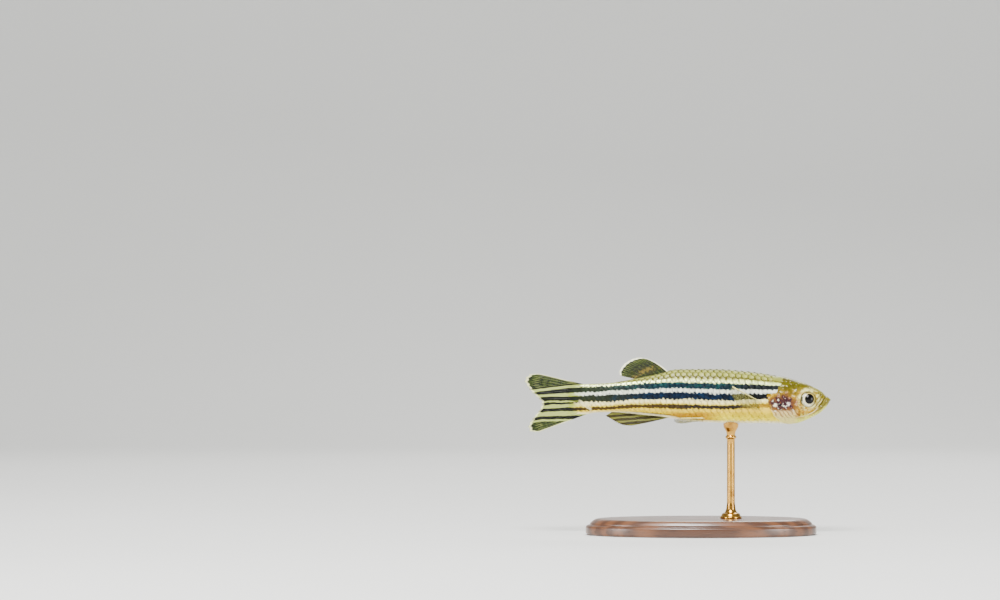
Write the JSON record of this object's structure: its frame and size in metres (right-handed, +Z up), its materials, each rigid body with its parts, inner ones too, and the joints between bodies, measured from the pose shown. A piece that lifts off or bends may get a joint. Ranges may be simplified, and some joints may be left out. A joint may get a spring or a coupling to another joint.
{
  "type": "zebra danio model",
  "caption": "Still, life-size display model of a zebra danio, a slim striped freshwater fish, on an oval base with a rod.",
  "frame": {"origin": "on the surface the stand rests on, under the middle of the fish's length", "axes": "+X from the tail to the snout, along the fish; +Z up; the fish's right side faces -Y"},
  "size_m": [0.0449, 0.018, 0.0261],
  "materials": {
    "head_skin": "moist scaleless skin, olive gold above and cream below",
    "flank_skin": "small glossy scales with dark blue and pale gold stripes",
    "fin": "thin half clear membrane over fine rays, striped on the tail and anal fins",
    "eye": "polished, black pupil in a silvery iris",
    "stand_wood": "dark stained wood, satin varnish",
    "stand_brass": "turned brass, polished"
  },
  "bodies": {
    "root": {"head": "head_skin", "trunk": "flank_skin", "tail_stalk": "flank_skin", "tail_fin_upper": "fin", "tail_fin_lower": "fin", "dorsal_fin": "fin", "anal_fin": "fin", "pectoral_fin_right": "fin", "pelvic_fin_right": "fin", "eye_right": "eye", "barbel_front_right": "head_skin", "barbel_rear_right": "head_skin", "pectoral_fin_left": "fin", "pelvic_fin_left": "fin", "eye_left": "eye", "barbel_front_left": "head_skin", "barbel_rear_left": "head_skin", "stand_base": "stand_wood", "stand_rod": "stand_brass"}
  },
  "joints": []
}
